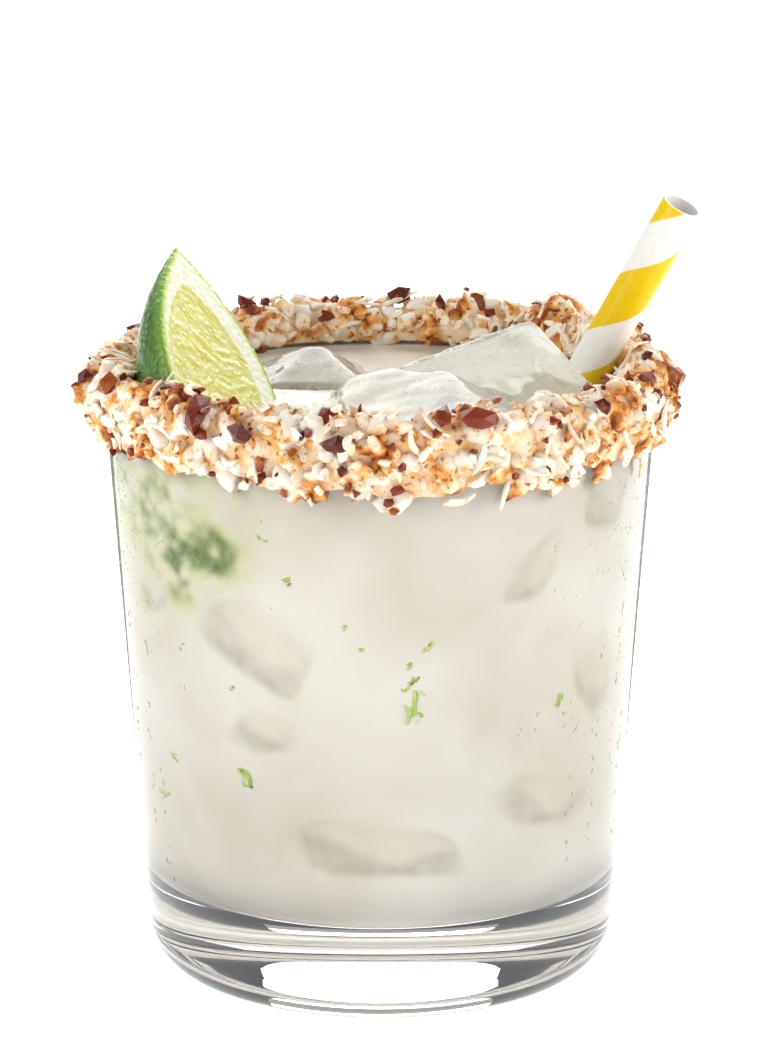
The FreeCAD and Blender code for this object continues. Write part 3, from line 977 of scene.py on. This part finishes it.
def lime_middle():
    """Middle of the cut face, as far from the wall as the lime's bulge needs."""
    out, _, across = lime_directions()
    to_wall = Vector((math.cos(LIME_BEARING), math.sin(LIME_BEARING), 0))
    bulge = math.hypot(LIME_HALF_WIDTH * across.dot(to_wall), LIME_DEPTH * out.dot(to_wall))
    reach = outer_radius(LEVEL) - WALL - LIME_ROOM - bulge
    return to_wall * reach + Vector((0, 0, LEVEL + LIME_RISE))


def lime_look(across, along, depth):
    """Colour at a place on the lime, and how far its skin moves out."""
    share = min(0.9999, abs(along) / LIME_HALF_LENGTH)
    edge = LIME_HALF_WIDTH * (1 - share ** 2) ** LIME_POINT - abs(across)
    wobble = noise.noise(Vector((across, along, depth)) / (1.6 * MM))
    if depth > CUT_FACE:
        patch = 0.5 + 0.5 * noise.noise(Vector((across, along, depth)) / (5 * MM))
        low = min(1.0, max(0.0, (4 * MM - along) / (14 * MM)))
        near_cut = max(0.0, 1 - (depth - CUT_FACE) / (1.6 * MM))
        dark = Vector((0.006, 0.06, 0.001)).lerp(Vector((0.04, 0.165, 0.003)), patch)
        colour = dark.lerp(Vector((0.22, 0.40, 0.006)), min(1, 0.4 * low + 0.5 * near_cut))
        pore = noise.voronoi(Vector((across, along, depth)) / (1.25 * MM))[0][0]
        return colour, (pore - 0.35) * 0.16 * MM, 0.0
    flesh_share = min(1.0, abs(along) / FLESH_HALF_LENGTH)
    half = FLESH_HALF_WIDTH * (1 - flesh_share ** 2) ** 0.8
    inside = half - abs(across - FLESH_SHIFT) + 0.25 * MM * wobble
    if inside > 0:
        return flesh_look(across, along, inside)
    if edge < RIND * (1.15 + 0.5 * wobble):
        fade = max(0.0, min(1.0, edge / RIND))
        colour = Vector((0.10, 0.30, 0.008)).lerp(Vector((0.42, 0.56, 0.03)), fade)
        return colour, 0.0, 0.0
    fade = max(0.0, min(1.0, (edge - RIND) / ((1.4 if across < 0 else 1.1) * MM) + 0.35 * wobble))
    cream = Vector((0.80, 0.86, 0.42)).lerp(Vector((0.90, 0.92, 0.74)), fade)
    return Vector((0.55, 0.68, 0.10)).lerp(cream, min(1, 0.25 + fade)), 0.08 * MM * wobble, 0.0


def flesh_look(across, along, inside):
    """Juicy sacs that point at the hub, paler along their skins."""
    out, up = across - VESICLE_HUB[0], along - VESICLE_HUB[1]
    reach, turn = math.hypot(out, up), math.atan2(up, -out)
    bend = 0.10 * noise.noise(Vector((across, along, 0)) / (5 * MM))
    place = Vector((reach / (4.6 * MM), (turn + bend) * 15.5, 3.0))
    near = noise.voronoi(place)[0]
    skin = max(0.0, 1 - (near[1] - near[0]) / 0.22)
    tone = 0.5 + 0.5 * noise.noise(place * 1.3)
    juice = Vector((0.60, 0.58, 0.045)).lerp(Vector((0.80, 0.78, 0.15)), tone)
    membrane = math.exp(-((along + 7.5 * MM - 0.75 * (across - 2 * MM)) / (0.45 * MM)) ** 2)
    membrane *= 1.0 if across > -1 * MM else 0.0
    pale = min(1.0, skin ** 2 * 0.75 + membrane + 0.6 * max(0.0, 1 - inside / (0.5 * MM)))
    colour = juice.lerp(Vector((0.93, 0.93, 0.62)), pale)
    lift = 0.22 * MM * (1 - min(1.0, near[0] * 1.5)) - 0.22 * MM * min(1.0, inside / (0.8 * MM))
    return colour, lift, 1.0


def lime_material():
    """Rind, pith and flesh, whose colour and juiciness come with the mesh."""
    nodes = Nodes("lime")
    look = nodes.attribute("look")
    juicy = nodes.attribute("look", "Alpha")
    fine = nodes.noise(1300, 3, 0.6)
    shade = nodes.mix(nodes.span(fine, 0.3, 0.7, 0.0, 0.18), look, (0.95, 0.97, 0.70))
    nodes.set(Base_Color=nodes.mix(nodes.span(juicy, 0, 1, 0.6, 1.0), look, shade))
    nodes.set(Roughness=nodes.span(nodes.noise(500, 2), 0.3, 0.7, 0.14, 0.30))
    nodes.set(Specular_IOR_Level=nodes.span(juicy, 0, 1, 0.28, 0.45))
    nodes.set(Subsurface_Weight=nodes.span(juicy, 0, 1, 0.03, 0.25), Subsurface_Scale=0.0015)
    nodes.set(Subsurface_Radius=(0.8, 1.0, 0.3))
    pores = nodes.span(nodes.cells(850), 0.0, 0.5)
    nodes.set(Normal=nodes.bump(pores, 0.45, 0.0003, nodes.bump(fine, 0.3, 0.00012)))
    return nodes.material


def make_lime():
    lime = copy_node("lime_wedge", "lime_cut")
    soften(lime, LIME_VOXEL, 1, 0, 0)
    out, along, across = lime_directions()
    middle = lime_middle()
    looks = []
    mesh = lime.data
    normals = [vertex.normal.copy() for vertex in mesh.vertices]
    for vertex, normal in zip(mesh.vertices, normals):
        place = vertex.co - middle
        colour, lift, juicy = lime_look(place.dot(across), place.dot(along), -place.dot(out))
        looks.append((*colour, juicy))
        vertex.co += normal * lift
    set_attribute(lime, "look", looks)
    dress(lime, lime_material())
    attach(lime, "root")
    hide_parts("lime_wedge")


# ---- zest and drops ----------
# Turn round the glass from the front in degrees towards +X, height, length and roll in degrees.
ZEST = [
    (-20.3, 72.2, 2.2, 70), (-7.7, 65.5, 1.3, 40), (-4.4, 61.9, 1.4, -30), (-50.7, 51.6, 1.2, 60),
    (-35.3, 53.7, 0.9, -60), (-33.7, 40.2, 3.4, -50), (6.0, 59.0, 2.2, 35), (7.9, 54.2, 5.4, 80),
    (-26.0, 78.3, 1.8, -40), (10.0, 62.1, 2.4, 50), (7.0, 56.5, 2.6, 60), (9.0, 51.0, 2.0, 75),
    (-32.5, 38.6, 1.8, -45),
]
ZEST_TONES = [(0.0, (0.50, 0.70, 0.08)), (0.5, (0.30, 0.55, 0.03)), (1.0, (0.72, 0.82, 0.28))]
MORE_ZEST = 26                   # flecks at the sides and the back
ZEST_THICK = 0.35                # of a shred's thickness
ZEST_SEAT = INTO_WALL - WALL + 0.02 * MM     # just outside the milk's side


def on_wall(turn, level, beyond):
    """Transform to a place on the glass, with Z pointing out of the side and X level."""
    round_glass = Matrix.Rotation(math.radians(turn), 4, "Z")
    outwards = Matrix.Translation((0, -outer_radius(level) - beyond, level))
    return round_glass @ outwards @ Matrix.Rotation(math.radians(90), 4, "X")


def make_zest(chance):
    heap = Heap()
    places = [(turn, height * MM, length * MM, roll) for turn, height, length, roll in ZEST]
    for _ in range(MORE_ZEST):
        places.append((chance.uniform(40, 310), chance.uniform(25, 82) * MM,
                       chance.uniform(0.8, 3.0) * MM, chance.uniform(-90, 90)))
    for turn, level, length, roll in places:
        for _ in range(2 + int(length / (0.8 * MM))):
            step = Matrix.Translation((chance.gauss(0, length * 0.3), chance.gauss(0, 0.32 * MM), 0))
            spin = Matrix.Rotation(math.radians(roll + chance.gauss(0, 22)), 4, "Z")
            size = chance.uniform(0.6, 1.0) * max(length, 1.3 * MM) * 0.65
            points, faces = shred_shape(chance, size, min(size * 0.45, 0.75 * MM))
            points[:, 2] *= ZEST_THICK
            base = Matrix.Rotation(math.radians(roll), 4, "Z")
            seat = on_wall(turn, level, ZEST_SEAT) @ base @ step @ base.inverted() @ spin
            heap.add(points, faces, seat, np.full(len(points), chance.random()))
    zest = heap.build("zest_flecks", crust_material("zest", ZEST_TONES, 0.4), True)
    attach(zest, "root")


FINE_BEADS = 700
LOWEST_BEAD = 18 * MM
# Turn round the glass in degrees, height of the top and length of each run of drops.
RUNS = [
    (45, 54, 9), (37, 51, 5), (49, 52, 30), (32, 48, 5), (57, 60, 36), (66, 74, 40), (72, 45, 24),
    (-66, 52, 26), (-60, 40, 22), (-74, 70, 36), (110, 70, 40), (135, 50, 26), (170, 66, 30),
    (-110, 60, 34), (-150, 48, 22),
]


def drop_shape(chance, size):
    """Flattened bead, a little taller than wide."""
    points, faces = crumb_shape(chance, 1.0, 0.04)
    reach = np.array([size * 0.5, size * chance.uniform(0.5, 0.7), size * 0.2])
    return points / np.abs(points).max(0) * reach, faces


def make_drops(chance, material):
    """Condensed water on the outside of the glass: fine beads near the brim and runs at the sides."""
    heap = Heap()
    seats = []
    for _ in range(FINE_BEADS):
        level = (86 - abs(chance.gauss(0, 16))) * MM
        side = 1 if chance.random() < 0.5 else -1
        if level > LOWEST_BEAD:
            seats.append((side * chance.gauss(76, 17), level, chance.uniform(0.12, 0.34) * MM))
    for turn, top, length in RUNS:
        for _ in range(int(length * 0.55)):
            level = (top - chance.random() * length) * MM
            seats.append((turn + chance.gauss(0, 0.9), level, chance.uniform(0.22, 0.7) * MM))
    for turn, level, size in seats:
        points, faces = drop_shape(chance, size)
        heap.add(points, faces, on_wall(turn, level, 0.03 * MM), np.zeros(len(points)))
    drops = heap.build("water_drops", material, True)
    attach(drops, "root")


# ---- straw ----------
def straw_axis():
    """Foot and direction of the straw, found from its mesh."""
    points = np.array([tuple(v.co) for v in NODES["straw"].data.vertices])
    middle = points.mean(0)
    direction = np.linalg.svd(points - middle, full_matrices=False)[2][0]
    if direction[2] < 0:
        direction = -direction
    reach = (points - middle) @ direction
    return Vector(middle + direction * reach.min()), Vector(direction)


def light_stage():
    """Two soft lamps at the sides, a weak one in front, a strong one behind, and dark cards."""
    add_light("key", (-0.70, -0.30, 0.34), (0, 0, 0.06), (0.45, 0.6), 3.7)
    add_light("fill", (0.75, -0.28, 0.28), (0, 0, 0.06), (0.45, 0.6), 3.7)
    add_light("front", (-0.12, -1.0, 0.10), (0, 0, 0.07), (0.6, 0.4), 0.9)
    add_light("back", (0.1, 0.9, 0.8), (0, 0, 0.06), (1.6, 1.2), 18)
    for side, name in ((-1, "left"), (1, "right")):
        add_flag("flag_side_" + name, (side * 0.17, 0.02, 0), (0.30, 0.24), math.radians(82 * side))
        add_flag("flag_back_" + name, (side * 0.235, 0.20, 0), (0.34, 0.26), math.radians(-12 * side))
    add_dark_floor("dark_floor_right", 20, 140, (0.024, 0.15))
    add_dark_floor("dark_floor_left", 200, 140, (0.024, 0.15))
    add_dark_floor("dark_edge_right", 3, 25, (0.05, 0.45), True)
    add_dark_floor("dark_edge_left", 332, 25, (0.05, 0.45), True)
    add_flag("flag_low", (0, 0.22, 0), (0.5, 0.03), 0)


def main():
    make_camera()
    make_stage()
    light_stage()
    chance = random.Random(SEED)
    ice = ice_material()
    standing = make_ice(ice)
    sunk = sunk_ice(chance)
    make_drink(drink_material(), standing, sunk)
    foot, axis = straw_axis()
    dress(NODES["straw"], straw_material(foot, axis))
    dress(NODES["glass"], glass_material())
    make_lime()
    make_zest(chance)
    make_drops(chance, water_material())
    make_crust([mesh_tree(NODES[node].data) for node in ("lime_wedge", "straw")])


bpy.context.scene.view_settings.view_transform = "Standard"
main()
